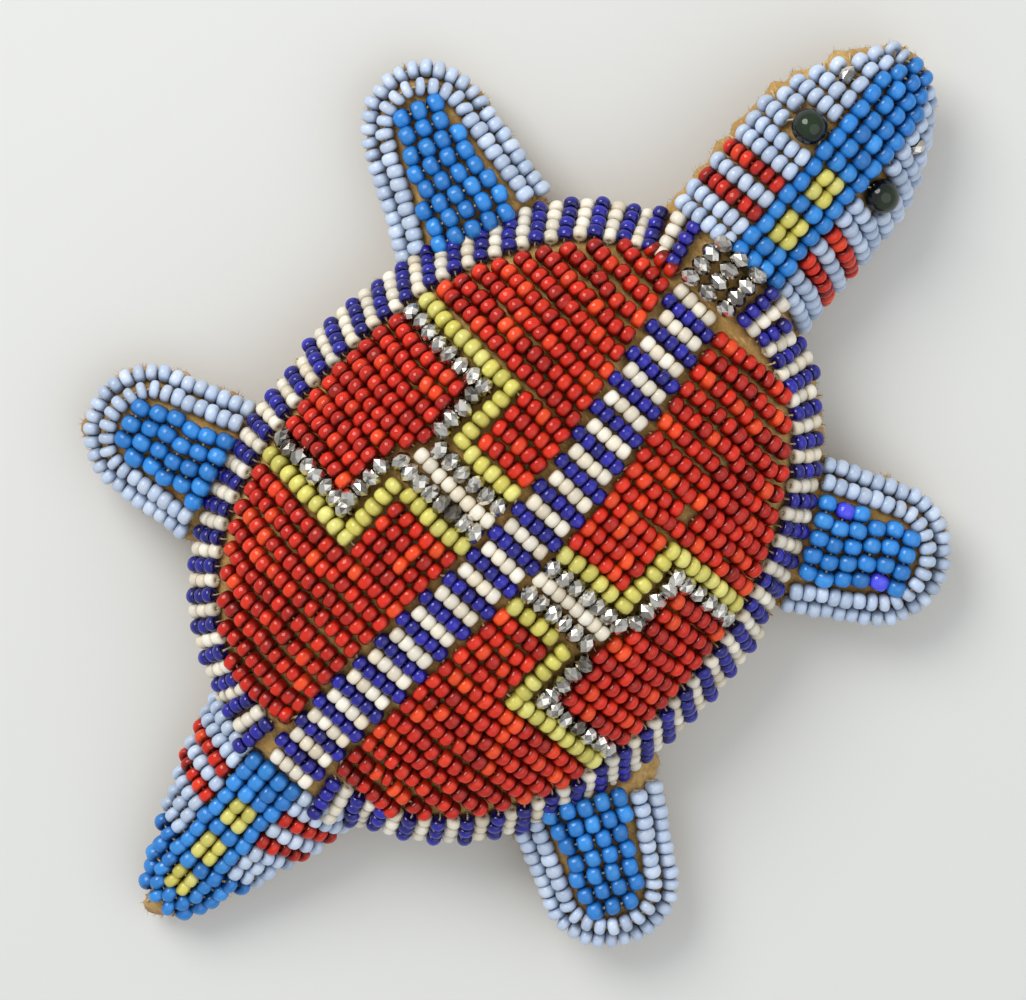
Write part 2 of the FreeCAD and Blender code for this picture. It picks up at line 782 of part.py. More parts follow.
def build_body():
    stations = body_stations(0.0)
    wires = []
    for v in stations:
        wires.append(crescent(body_arc(v, 1, 0.0, back), body_arc(v, 1, HIDE, back)))
    add("hide_back", Part.makeLoft(wires, True))
    wires = []
    for v in stations:
        wires.append(crescent(body_arc(v, -1, 0.0, belly), body_arc(v, -1, HIDE, belly)))
    floor = Part.makeBox(200, 200, 5, Vec(-100, -100, -5))
    add("hide_belly", Part.makeLoft(wires, True).cut(floor))
    layers = []
    for share in (0.55, 0.77, 0.9, 0.98):
        layers.append(body_layer(share, INNER - belly(SHELL_HALF_WIDTH * share, 0.0)))
    for share in (0.975, 0.92, 0.8, 0.62, 0.4, 0.16):
        layers.append(body_layer(share, dome(SHELL_HALF_WIDTH * share, 0.0) - INNER))
    add("stuffing_body", Part.makeLoft(layers, True, True))


def limb_arc(limb, s, shrink, under):
    first, last = (0, -180) if under else (0, 180)
    return [limb.spot(s, mix(first, last, i / ARC_STEPS), shrink) for i in range(ARC_STEPS + 1)]


def build_limb(word, limb, envelope):
    shares = (0.0, 0.18, 0.36, 0.54, 0.70, 0.82, 0.91, 0.965, 0.995)
    stations = [mix(-limb.inside, limb.length, k) for k in shares]
    for side, under in (("top", False), ("under", True)):
        wires = []
        for s in stations:
            wires.append(crescent(limb_arc(limb, s, 0.0, under), limb_arc(limb, s, HIDE, under)))
        panel = Part.makeLoft(wires, True).cut(envelope)
        add("hide_" + word + "_" + side, panel)
    wires = []
    for s in stations[:-1]:
        wires.append(pillow(limb_arc(limb, s, INNER, False), limb_arc(limb, s, INNER, True)))
    add("stuffing_" + word, Part.makeLoft(wires, True).cut(envelope))


def body_envelope():
    """The whole body as one solid, used to trim the limbs where they meet it."""
    wires = []
    for v in body_stations(0.0):
        upper = body_arc(v, 1, 0.0, dome)
        lower = body_arc(v, -1, 0.0, belly)
        lower[0] = upper[0]
        lower[-1] = upper[-1]
        wires.append(lens(upper, list(reversed(lower))))
    return Part.makeLoft(wires, True)


def stitch(node, spot, tangent):
    """A loop of sinew round the two edges of hide in a seam."""
    corners = []
    for i in range(7):
        a = math.pi * i / 3
        corners.append(Vec(STITCH + math.cos(a) * SINEW / 2, 0, math.sin(a) * SINEW / 2))
    ring = Part.Face(Part.makePolygon(corners)).revolve(Vec(0, 0, 0), UP, 360)
    ring.Placement = FreeCAD.Placement(spot, FreeCAD.Rotation(UP, tangent))
    add(node, ring)


def build_seams():
    fine = 720
    ring = []
    for i in range(fine + 1):
        u, v = outline_point(2 * math.pi * i / fine, 1.0)
        ring.append(Vec(u + SHELL_X, v + SHELL_Y, SEAM_Z))
    total = run_length(ring)
    spacing = 3.4
    count = int(total / spacing)
    for spot, tangent in place_along(ring, [total * i / count for i in range(count)]):
        stitch("seam_body", spot, tangent)
    limbs = dict(LEGS)
    limbs["head"] = head
    limbs["tail"] = tail
    for word, limb in limbs.items():
        path = [limb.spot(mix(2.0, limb.length * 0.985, i / 60), 0) for i in range(61)]
        path += [limb.spot(mix(limb.length * 0.985, 2.0, i / 60), 180) for i in range(61)]
        total = run_length(path)
        count = int(total / spacing)
        for spot, tangent in place_along(path, [spacing * (i + 0.5) for i in range(count - 1)]):
            stitch("seam_limbs", spot, tangent)


def build_sinew():
    """The strand that every string of beads is threaded on."""
    for node, points in runs:
        path = Part.Wire([spline(points)])
        start = points[0]
        tangent = path.Edges[0].tangentAt(path.Edges[0].FirstParameter)
        turn = FreeCAD.Rotation(UP, tangent)
        corners = []
        for i in range(7):
            a = math.pi * i / 3
            corner = Vec(math.cos(a), math.sin(a), 0) * (SINEW / 2)
            corners.append(start + turn.multVec(corner))
        add(node, path.makePipeShell([Part.makePolygon(corners)], True, True))


# ------------------------------------------------------------ build and export
def main():
    build_body()
    envelope = body_envelope()
    limbs = {"leg_" + word: limb for word, limb in LEGS.items()}
    limbs["head"] = head
    limbs["tail"] = tail
    for word, limb in limbs.items():
        build_limb(word, limb, envelope)
    build_seams()
    build_stripe()
    build_field()
    build_rim()
    build_neck()
    build_head()
    build_tail()
    for word, limb in LEGS.items():
        build_leg(word, limb)
    build_sinew()
    os.makedirs("parts", exist_ok=True)
    box = FreeCAD.BoundBox()
    for solids in nodes.values():
        for solid in solids:
            box.add(solid.BoundBox)
    centre = Vec(-box.Center.x, -box.Center.y, 0)
    for name, solids in nodes.items():
        shape = solids[0] if len(solids) == 1 else Part.makeCompound(solids)
        shape.translate(centre)
        shape.exportStep("parts/" + name + ".step")
        print(name, len(solids))
    print("nodes", len(nodes), "solids", sum(len(s) for s in nodes.values()), box)


main()
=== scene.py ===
import math

import bpy
import numpy as np
from mathutils import Matrix, Vector
from mathutils.bvhtree import BVHTree
from mathutils.kdtree import KDTree


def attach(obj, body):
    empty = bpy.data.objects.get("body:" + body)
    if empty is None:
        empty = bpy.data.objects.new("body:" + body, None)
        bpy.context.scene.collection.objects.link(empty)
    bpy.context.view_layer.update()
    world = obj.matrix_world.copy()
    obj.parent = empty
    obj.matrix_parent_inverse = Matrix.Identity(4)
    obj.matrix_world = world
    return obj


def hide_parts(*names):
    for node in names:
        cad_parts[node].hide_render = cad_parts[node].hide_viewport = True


# Beaded hide turtle: visual beads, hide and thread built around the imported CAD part.
# All lengths are metres in the row frame: head to -Y, the turtle's left to +X, +Z up.

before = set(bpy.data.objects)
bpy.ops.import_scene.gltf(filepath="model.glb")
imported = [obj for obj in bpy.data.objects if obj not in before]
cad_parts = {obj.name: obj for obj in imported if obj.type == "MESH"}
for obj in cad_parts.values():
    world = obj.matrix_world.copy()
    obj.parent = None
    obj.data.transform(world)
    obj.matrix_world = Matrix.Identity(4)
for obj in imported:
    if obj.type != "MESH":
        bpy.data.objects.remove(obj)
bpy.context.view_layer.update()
SEED = 7
rng = np.random.default_rng(SEED)
MM = 0.001

# ---------------------------------------------------------------- camera
CAMERA_AWAY = 0.450       # from the seam plane
PHOTO_WIDTH = 0.12312     # width of the view at the seam plane
SENSOR = 36.0
TILT_TO_HEAD = math.radians(6.0)
TILT_TO_LEFT = math.radians(4.0)
ROLL = math.radians(43.1)
AIM_RIGHT = -0.00216      # the view's middle from the design's middle, along the view
AIM_DOWN = 0.00168
SEAM_Z = 0.008
DESIGN_SHIFT = Vector((-0.000645, -0.000046, 0.0))


def view_axes():
    """Right and down on the picture with the head up, and the way to the camera."""
    x = math.sin(TILT_TO_LEFT)
    y = -math.sin(TILT_TO_HEAD)
    toward = Vector((x, y, math.sqrt(1 - x * x - y * y)))
    down = Vector((0, 1, 0)) - toward * toward.y
    down.normalize()
    right = (-down).cross(toward)
    return right, down, toward


def add_camera():
    right, down, toward = view_axes()
    c, s = math.cos(ROLL), math.sin(ROLL)
    photo_right = right * c - down * s
    photo_up = right * -s - down * c
    middle = DESIGN_SHIFT + Vector((0, 0, SEAM_Z))
    place = middle + right * AIM_RIGHT + down * AIM_DOWN + toward * CAMERA_AWAY
    data = bpy.data.cameras.new("camera")
    data.sensor_width = SENSOR
    data.lens = SENSOR * CAMERA_AWAY / PHOTO_WIDTH
    data.clip_start = 0.01
    camera = bpy.data.objects.new("camera", data)
    bpy.context.scene.collection.objects.link(camera)
    turn = Matrix((photo_right, photo_up, toward)).transposed()
    camera.matrix_world = Matrix.Translation(place) @ turn.to_4x4()
    bpy.context.scene.camera = camera
    return photo_right, photo_up, toward, middle


# ---------------------------------------------------------------- reading the CAD part
def islands(obj):
    """Vertex positions of each separate solid of a node."""
    mesh = obj.data
    co = np.empty(len(mesh.vertices) * 3, np.float32)
    mesh.vertices.foreach_get("co", co)
    co = co.reshape(-1, 3)
    unique, inverse = np.unique(co, axis=0, return_inverse=True)
    inverse = inverse.reshape(-1)
    edges = np.empty(len(mesh.edges) * 2, np.int64)
    mesh.edges.foreach_get("vertices", edges)
    edges = inverse[edges].reshape(-1, 2)
    label = np.arange(len(unique))
    while True:
        low = np.minimum(label[edges[:, 0]], label[edges[:, 1]])
        new = label.copy()
        np.minimum.at(new, edges[:, 0], low)
        np.minimum.at(new, edges[:, 1], low)
        new = new[new]
        if (new == label).all():
            break
        label = new
    order = np.argsort(label, kind="stable")
    cuts = np.flatnonzero(np.diff(label[order])) + 1
    return [unique[part].astype(float) for part in np.split(order, cuts)]


def unit(v):
    return v / np.maximum(np.linalg.norm(v, axis=-1, keepdims=True), 1e-12)


BORE_BAND = 1.06          # points this near the nearest one lie on the rim of the hole


def read_beads(node):
    """Centre, hole axis, half length and radius of every bead of a node."""
    found = []
    for points in islands(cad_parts[node]):
        middle = (points.min(0) + points.max(0)) / 2
        for _ in range(3):
            away = np.linalg.norm(points - middle, axis=1)
            bore = points[away < away.min() * BORE_BAND + 1e-6]
            middle = bore.mean(0) if len(bore) > 5 else middle
        spread = np.linalg.eigh(np.cov((bore - middle).T))
        axis = spread[1][:, 2]
        along = (points - middle) @ axis
        radius = np.linalg.norm((points - middle) - np.outer(along, axis), axis=1).max()
        found.append((middle, axis, np.abs(along).max(), radius))
    centre = np.array([f[0] for f in found])
    return {"centre": centre, "axis": unit(np.array([f[1] for f in found])),
            "half": np.array([f[2] for f in found]), "radius": np.array([f[3] for f in found])}


def stuffing_tree():
    """The surface of all stuffing, which tells which way is outward."""
    verts, faces = [], []
    for name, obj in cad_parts.items():
        if name.startswith("stuffing_"):
            base = len(verts)
            verts.extend(v.co.copy() for v in obj.data.vertices)
            faces.extend([base + i for i in p.vertices] for p in obj.data.polygons)
    return BVHTree.FromPolygons(verts, faces)


TREE = stuffing_tree()


def outward(points):
    out = []
    for p in points:
        near = TREE.find_nearest(Vector(p))[0]
        out.append(np.array(Vector(p) - near))
    return unit(np.array(out))


# ---------------------------------------------------------------- mesh building
def make_mesh(name, verts, faces, smooth=True):
    verts = np.asarray(verts, np.float32)
    faces = np.asarray(faces, np.int32)
    mesh = bpy.data.meshes.new(name)
    mesh.vertices.add(len(verts))
    mesh.vertices.foreach_set("co", verts.ravel())
    corners = faces.shape[1]
    mesh.loops.add(faces.size)
    mesh.loops.foreach_set("vertex_index", faces.ravel())
    mesh.polygons.add(len(faces))
    mesh.polygons.foreach_set("loop_start", np.arange(len(faces), dtype=np.int32) * corners)
    mesh.update(calc_edges=True)
    mesh.polygons.foreach_set("use_smooth", np.full(len(faces), smooth))
    mesh.validate()
    mesh.update()
    obj = bpy.data.objects.new(name, mesh)
    bpy.context.scene.collection.objects.link(obj)
    return obj


def set_attribute(obj, name, values):
    values = np.asarray(values, np.float32)
    kind = "FLOAT" if values.ndim == 1 else "FLOAT_COLOR"
    attribute = obj.data.attributes.new(name, kind, "POINT")
    attribute.data.foreach_set("value" if kind == "FLOAT" else "color", values.ravel())


def power(x, e):
    return np.sign(x) * np.abs(x) ** e


def ring_faces(around, along, count):
    """Quads of count closed rings-of-rings, each around x along vertices."""
    i, j = np.meshgrid(np.arange(around), np.arange(along), indexing="ij")
    i2, j2 = (i + 1) % around, (j + 1) % along
    one = np.stack([i * along + j, i2 * along + j, i2 * along + j2, i * along + j2], -1)
    one = one.reshape(-1, 4)
    step = around * along
    return (one[None] + (np.arange(count) * step)[:, None, None]).reshape(-1, 4)


AROUND = 20
OUTER = 10                # points of a bead's outline from one end to the other
BORE = 3                  # and back through its hole
ALONG = OUTER + BORE
LENGTH_GROW = 1.12        # drawn this much longer than in CAD, so that neighbours touch
LIE_OUT = 0.07 * MM       # how unevenly the beads lie
LIE_SIDE = 0.05 * MM
LIE_TURN = math.radians(3.5)


def loosen(beads, share):
    """Each bead sits a little off its string, as threaded by hand."""
    n = len(beads["centre"])
    out = outward(beads["centre"])
    draw = rng.normal(size=(n, 5)) * share
    axis = beads["axis"]
    across = unit(np.cross(axis, out))
    shift = out * draw[:, 0:1] * LIE_OUT + across * draw[:, 1:2] * LIE_SIDE
    beads["centre"] = beads["centre"] + shift
    axis = axis + out * draw[:, 2:3] * LIE_TURN + across * draw[:, 3:4] * LIE_TURN
    beads["axis"] = unit(axis)
    beads["up"] = unit(out - beads["axis"] * (out * beads["axis"]).sum(1, keepdims=True))
    beads["side"] = np.cross(beads["axis"], beads["up"])
    return beads


def bead_profile(squareness):
    """A bead's outline: how far out each point lies, from bore to rim, and how far along."""
    turn = np.linspace(-math.pi / 2, math.pi / 2, OUTER)
    out = power(np.abs(np.cos(turn)), squareness)
    along = power(np.sin(turn), squareness)
    out = np.concatenate([out, np.full(BORE, -0.08)])
    along = np.concatenate([along, np.linspace(0.8, -0.8, BORE)])
    return out[None, None], along[None, None]


def bead_shapes(beads, squareness, wobble, grow, hole):
    """Vertices of every bead, its tone, tint and way along, and how much it faces outward, which sets
    where its painted light falls.
    """
    n = len(beads["centre"])
    axis, up, side = beads["axis"], beads["up"], beads["side"]
    spin = np.arange(AROUND) * 2 * math.pi / AROUND
    r = beads["radius"][:, None, None] * grow
    h = beads["half"][:, None, None] * LENGTH_GROW
    t = spin[None, :, None]
    out, forward = bead_profile(squareness)
    bore = r * hole
    radial = bore + (r - bore) * out
    along = h * forward
    draw = rng.uniform(-1, 1, (6, n))[:, :, None, None]
    share = along / h
    oval = 1 + wobble * draw[0] * np.cos(2 * t + 3 * draw[1])
    oval = oval + wobble * 0.6 * draw[2] * np.cos(3 * t + 3 * draw[3])
    taper = 1 + wobble * draw[4] * share
    slant = h * wobble * 1.6 * draw[5] * np.cos(t + 5 * draw[1]) * (radial / r)
    radial = radial * oval * taper
    along = along + slant + 0 * radial
    direction = up[:, None, None] * np.cos(t)[..., None] + side[:, None, None] * np.sin(t)[..., None]
    verts = beads["centre"][:, None, None] + axis[:, None, None] * along[..., None]
    verts = verts + direction * radial[..., None]
    # How much each point faces outward: the painted light of the glass is brightest here and turns to
    # painted shade on the side towards the hide.
    lean = np.maximum(out, 0) * np.cos(t) + 0 * r
    tone = rng.uniform(0, 1, (n, 1, 1)) + 0 * along
    tint = rng.uniform(0, 1, (n, 1, 1)) + 0 * along
    mark = np.stack([tone, tint, np.abs(share) + 0 * along, np.ones_like(along)], -1)
    return verts.reshape(-1, 3), mark.reshape(-1, 4), lean.reshape(-1)


strings = {}              # bead centres, axes and sizes by the sinew they are threaded on


def remember(node, beads):
    if node.startswith(("head_", "eye_")):
        group = "sinew_head"
    elif node.startswith("tail_"):
        group = "sinew_tail"
    elif node.startswith("leg_"):
        group = "sinew_legs"
    else:
        group = "sinew_body"
    strings.setdefault(group, []).append(beads)


def bead_piece(node, material, slot_name, squareness, wobble, grow, loose, hole):
    beads = loosen(read_beads(node), loose)
    remember(node, beads)
    verts, mark, lean = bead_shapes(beads, squareness, wobble, grow, hole)
    obj = make_mesh(node + "_beads", verts, ring_faces(AROUND, ALONG, len(beads["centre"])))
    set_attribute(obj, "bead", mark)
    # Where the painted light of the glass falls on each bead.
    set_attribute(obj, "lit_side", lean)
    finish_piece(obj, material, [node])


CUT_AROUND = 7
CUT_GROW = 1.08
CUT_LOOSE = 1.4
CUT_LEVELS = np.array([-0.8, -1.0, -0.6, 0.0, 0.6, 1.0, 0.8])
CUT_WIDTHS = np.array([0.28, 0.62, 0.94, 1.1, 0.94, 0.62, 0.28])
CUT_SHIFT = np.array([0.0, 0.0, 0.5, 0.0, 0.5, 0.0, 0.0])    # half a facet round, by turns


def cut_piece(node, material):
    """Faceted metal beads: rows of flat three-sided facets round a small bore."""
    beads = loosen(read_beads(node), CUT_LOOSE)
    remember(node, beads)
    n = len(beads["centre"])
    levels = len(CUT_LEVELS)
    lift = rng.uniform(-0.05, 0.05, (n, CUT_AROUND, levels))
    pull = rng.uniform(0.975, 1.02, (n, CUT_AROUND, levels))
    outer = CUT_WIDTHS > 0.3
    spin = np.arange(CUT_AROUND) * 2 * math.pi / CUT_AROUND
    t = spin[None, :, None] + rng.uniform(0, 6.28, (n, 1, 1)) + rng.uniform(-0.04, 0.04, lift.shape)
    t = t + CUT_SHIFT * 2 * math.pi / CUT_AROUND
    radial = beads["radius"][:, None, None] * CUT_GROW * CUT_WIDTHS * np.where(outer, pull, 1)
    along = beads["half"][:, None, None] * CUT_GROW * (CUT_LEVELS + lift * (CUT_WIDTHS > 0.9))
    direction = beads["up"][:, None, None] * np.cos(t)[..., None]
    direction = direction + beads["side"][:, None, None] * np.sin(t)[..., None]
    verts = beads["centre"][:, None, None] + beads["axis"][:, None, None] * along[..., None]
    verts = verts + direction * radial[..., None]
    quads = ring_faces(CUT_AROUND, levels, n)
    level = quads[:, 0] % levels
    cut = (level % 2 == 1)[:, None]
    a = np.where(cut, quads[:, [0, 1, 3]], quads[:, [0, 1, 2]])
    b = np.where(cut, quads[:, [1, 2, 3]], quads[:, [0, 2, 3]])
    obj = make_mesh(node + "_beads", verts.reshape(-1, 3), np.concatenate([a, b]), smooth=False)
    # Painted reflection: a random brightness for each flat facet, as if some facets catch the lamps
    # and others don't.
    facets = obj.data.attributes.new("facet", "FLOAT", "FACE")
    facets.data.foreach_set("value", rng.uniform(0, 1, len(obj.data.polygons)).astype(np.float32))
    tone = rng.uniform(0, 1, (n, 1, 1)) + np.zeros(lift.shape)
    mark = np.stack([tone, tone, 0 * tone, 0 * tone + 1], -1).reshape(-1, 4)
    set_attribute(obj, "bead", mark)
    finish_piece(obj, material, [node])


def finish_piece(obj, material, nodes):
    obj.data.materials.clear()
    obj.data.materials.append(material)
    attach(obj, "root")
    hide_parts(*nodes)


# ---------------------------------------------------------------- materials
class Graph:
    """Small helper to write node materials line by line."""

    def __init__(self, name):
        self.material = bpy.data.materials.new(name)
        self.material.use_nodes = True
        self.tree = self.material.node_tree
        self.tree.nodes.clear()
        self.output = self.add("ShaderNodeOutputMaterial")
        self.surface = self.add("ShaderNodeBsdfPrincipled")
        self.link(self.surface.outputs[0], self.output.inputs[0])

    def add(self, kind, **settings):
        node = self.tree.nodes.new(kind)
        for key, value in settings.items():
            setattr(node, key, value)
        return node

    def link(self, a, b):
        self.tree.links.new(a, b)

    def put(self, socket, value):
        if hasattr(value, "is_output") or isinstance(value, bpy.types.NodeSocket):
            self.link(value, socket)
        else:
            socket.default_value = value

    def attribute(self, name, colour=False):
        node = self.add("ShaderNodeAttribute", attribute_name=name)
        return node.outputs["Color" if colour else "Fac"]

    def split(self, colour):
        node = self.add("ShaderNodeSeparateColor")
        self.link(colour, node.inputs[0])
        return node.outputs[0], node.outputs[1], node.outputs[2]

    def math(self, operation, a, b=0.0, clamp=False):
        node = self.add("ShaderNodeMath", operation=operation, use_clamp=clamp)
        self.put(node.inputs[0], a)
        self.put(node.inputs[1], b)
        return node.outputs[0]

    def remap(self, value, low, high, out_low=0.0, out_high=1.0):
        node = self.add("ShaderNodeMapRange", interpolation_type="SMOOTHSTEP")
        self.put(node.inputs[0], value)
        for i, v in enumerate((low, high, out_low, out_high)):
            node.inputs[i + 1].default_value = v
        return node.outputs[0]

    def mix(self, share, a, b):
        node = self.add("ShaderNodeMix", data_type="RGBA", blend_type="MIX")
        self.put(node.inputs[0], share)
        self.put(node.inputs[6], a)
        self.put(node.inputs[7], b)
        return node.outputs[2]

    def ramp(self, value, stops):
        node = self.add("ShaderNodeValToRGB")
        self.link(value, node.inputs[0])
        elements = node.color_ramp.elements
        while len(elements) < len(stops):
            elements.new(0.5)
        for element, (place, colour) in zip(elements, stops):
            element.position = place
            element.color = colour
        return node.outputs[0]

    def coords(self, stretch=(1, 1, 1)):
        place = self.add("ShaderNodeTexCoord")
        node = self.add("ShaderNodeMapping")
        self.link(place.outputs["Object"], node.inputs[0])
        node.inputs["Scale"].default_value = stretch
        return node.outputs[0]

    def noise(self, scale, detail=2.0, rough=0.5, stretch=(1, 1, 1)):
        node = self.add("ShaderNodeTexNoise")
        self.link(self.coords(stretch), node.inputs["Vector"])
        node.inputs["Scale"].default_value = scale
        node.inputs["Detail"].default_value = detail
        node.inputs["Roughness"].default_value = rough
        return node.outputs["Fac"]

    def bump(self, height, strength, distance):
        node = self.add("ShaderNodeBump")
        node.inputs["Strength"].default_value = strength
        node.inputs["Distance"].default_value = distance
        self.link(height, node.inputs["Height"])
        self.link(node.outputs[0], self.surface.inputs["Normal"])

    def set(self, **values):
        for key, value in values.items():
            self.put(self.surface.inputs[key.replace("_", " ")], value)


def srgb(r, g, b):
    """Linear colour from the eight-bit values of a screen colour."""
    out = []
    for c in (r, g, b):
        c = c / 255
        out.append(c / 12.92 if c <= 0.04045 else ((c + 0.055) / 1.055) ** 2.4)
    return (*out, 1.0)


# Takes the lit and shaded colour lists, the span of outward facing over which painted light comes in,
# and ends, the strength of painted shade at the bead's ends.
def bead_glass(name, lit_colours, shaded_colours, rough=(0.12, 0.3), painted_light_span=(0.25, 0.95), ends=0.55, coat=0.15,
               shine=0.45):
    """Glass bead: painted light on the side that faces out, painted shade at its rim and towards its
    ends, each bead its own tone.
    """
    g = Graph(name)
    tone, tint, end = g.split(g.attribute("bead", True))
    # Painted light: brighter where the bead faces outward, darker on the side towards the hide,
    # broken up by fine streaks.
    lit_side = g.attribute("lit_side")
    painted_light = g.remap(lit_side, painted_light_span[0], painted_light_span[1])
    # Painted shade towards both ends, where the bead meets its neighbours.
    painted_end_shade = g.remap(end, 0.35, 0.98, 1.0, 1.0 - ends)
    painted_light = g.math("MULTIPLY", painted_light, painted_end_shade)
    streak = g.noise(2200, 3.0, 0.6)
    painted_light = g.math("ADD", painted_light, g.remap(streak, 0.3, 0.7, -0.12, 0.12), clamp=True)
    steps = [i / (len(lit_colours) - 1) for i in range(len(lit_colours))]
    # Lit and shaded colours of the same glass, each chosen by the bead's random tone and mixed by the
    # painted light.
    lit_colour = g.ramp(tone, list(zip(steps, lit_colours)))
    rim = g.ramp(tone, list(zip(steps, shaded_colours)))
    colour = g.mix(painted_light, rim, lit_colour)
    shade = g.remap(tint, 0.0, 1.0, 0.86, 1.1)
    value = g.add("ShaderNodeHueSaturation")
    g.link(colour, value.inputs["Color"])
    g.link(shade, value.inputs["Value"])
    g.set(Base_Color=value.outputs[0])
    g.set(Roughness=g.remap(g.noise(900, 2.0), 0.3, 0.7, rough[0], rough[1]))
    g.set(IOR=1.5, Specular_IOR_Level=shine, Coat_Weight=coat, Coat_Roughness=0.08)
    g.bump(g.noise(3500, 2.0), 0.12, 0.05 * MM)
    return g.material


def build_materials():
    made = {}
    made["red"] = bead_glass(
        "bead red",
        [srgb(168, 32, 20), srgb(196, 36, 20), srgb(208, 40, 20), srgb(216, 44, 22),
         srgb(224, 52, 24), srgb(244, 84, 34)],
        [srgb(84, 14, 9), srgb(100, 16, 10), srgb(110, 17, 10), srgb(118, 18, 10),
         srgb(134, 24, 12), srgb(180, 48, 18)],
        rough=(0.08, 0.18), painted_light_span=(0.3, 0.9), ends=0.7, coat=0.05, shine=0.35)
    made["navy"] = bead_glass(
        "bead navy",
        [srgb(30, 28, 126), srgb(34, 31, 146), srgb(42, 38, 168)],
        [srgb(12, 11, 66), srgb(15, 13, 80), srgb(19, 17, 96)], rough=(0.07, 0.18))
    made["ivory"] = bead_glass(
        "bead ivory",
        [srgb(226, 214, 190), srgb(236, 228, 210), srgb(242, 236, 222)],
        [srgb(196, 178, 146), srgb(210, 196, 170), srgb(220, 208, 186)],
        rough=(0.22, 0.4), painted_light_span=(-0.3, 0.5), ends=0.4)
    made["pale"] = bead_glass(
        "bead pale",
        [srgb(180, 197, 222), srgb(190, 206, 230), srgb(204, 217, 236)],
        [srgb(126, 142, 166), srgb(140, 156, 182), srgb(156, 172, 196)],
        rough=(0.2, 0.36), painted_light_span=(-0.2, 0.6), ends=0.45)
    made["blue"] = bead_glass(
        "bead blue",
        [srgb(36, 118, 196), srgb(42, 132, 214), srgb(58, 148, 228)],
        [srgb(12, 62, 118), srgb(16, 72, 132), srgb(24, 84, 148)],
        rough=(0.16, 0.32), painted_light_span=(0.0, 0.8), ends=0.6)
    made["violet"] = bead_glass(
        "bead violet",
        [srgb(70, 74, 226), srgb(84, 90, 240)],
        [srgb(30, 30, 140), srgb(40, 40, 160)], rough=(0.1, 0.22), painted_light_span=(0.0, 0.8))
    made["yellow"] = bead_glass(
        "bead yellow",
        [srgb(206, 196, 88), srgb(218, 210, 104), srgb(228, 222, 126)],
        [srgb(122, 110, 36), srgb(138, 126, 44), srgb(154, 142, 56)],
        rough=(0.16, 0.3), painted_light_span=(-0.1, 0.85), ends=0.55)
    made["eye"] = bead_glass(
        "bead eye",
        [srgb(24, 44, 22), srgb(28, 52, 24)],
        [srgb(8, 10, 10), srgb(10, 12, 12)], rough=(0.03, 0.07), painted_light_span=(0.4, 0.95), ends=0.3, coat=0.0,
        shine=0.5)
    made["metal"] = cut_metal()
    made["hide"] = hide_material()
    made["sinew"] = sinew_material()
    return made


def cut_metal():
    g = Graph("bead metal")
    tone, _, _ = g.split(g.attribute("bead", True))
    grime = g.remap(g.noise(1100, 4.0, 0.6), 0.55, 0.7, 0.0, 0.8)
    bright = g.ramp(tone, [(0.0, srgb(110, 104, 96)), (0.14, srgb(206, 202, 194)),
                           (1.0, srgb(236, 233, 226))])
    # Painted reflection: each facet lighter or darker at random; the grime mottling beside it is the
    # metal's own.
    facet = g.remap(g.attribute("facet"), 0.1, 0.7, 0.4, 1.05)
    grime_and_painted_glints = g.add("ShaderNodeHueSaturation")
    g.link(g.mix(grime, bright, srgb(124, 112, 98)), grime_and_painted_glints.inputs["Color"])
    g.link(facet, grime_and_painted_glints.inputs["Value"])
    g.set(Base_Color=grime_and_painted_glints.outputs[0], Metallic=1.0)
    g.set(Roughness=g.remap(g.noise(700, 3.0), 0.3, 0.7, 0.1, 0.26))
    g.bump(g.noise(2600, 3.0), 0.1, 0.03 * MM)
    return g.material


def hide_material():
    g = Graph("hide")
    broad = g.noise(90, 4.0, 0.6)
    fine = g.noise(1400, 5.0, 0.7)
    fibre = g.noise(2600, 3.0, 0.6, stretch=(0.25, 1, 1))
    base = g.ramp(broad, [(0.3, srgb(168, 126, 62)), (0.5, srgb(192, 152, 84)),
                          (0.7, srgb(208, 172, 106))])
    base = g.mix(g.remap(fine, 0.4, 0.7, 0.0, 0.5), base, srgb(140, 100, 46))
    base = g.mix(g.remap(fibre, 0.55, 0.7, 0.0, 0.6), base, srgb(224, 194, 134))
    # Painted shade: the hide turns deep brown near each bead, standing in for the shade between and
    # beneath the beads.
    under = g.remap(g.attribute("under"), 0.0, 1.0, 0.0, 0.75)
    base = g.mix(under, base, srgb(92, 56, 30))
    g.set(Base_Color=base, Roughness=0.92, Sheen_Weight=0.25, Sheen_Roughness=0.5)
    height = g.math("ADD", g.math("MULTIPLY", fine, 0.7), g.math("MULTIPLY", fibre, 0.6))
    g.bump(height, 0.9, 0.25 * MM)
    return g.material


def sinew_material():
    g = Graph("sinew")
    strand = g.noise(3000, 3.0, 0.6)
    base = g.ramp(strand, [(0.3, srgb(170, 142, 92)), (0.6, srgb(214, 192, 144)),
                           (0.8, srgb(232, 216, 178))])
    g.set(Base_Color=base, Roughness=0.55, Sheen_Weight=0.1)
    g.bump(strand, 0.5, 0.05 * MM)
    return g.material


# ---------------------------------------------------------------- hide
VOXEL = 0.42 * MM
SMOOTHING = 6
EDGE_SPREAD = 0.33        # how sharply the cut edge ends where the hide turns up or down
EDGE_REACH = 7 * MM       # and how far above and below the seam it can lie
LEGS = ["front_left", "hind_left", "front_right", "hind_right"]


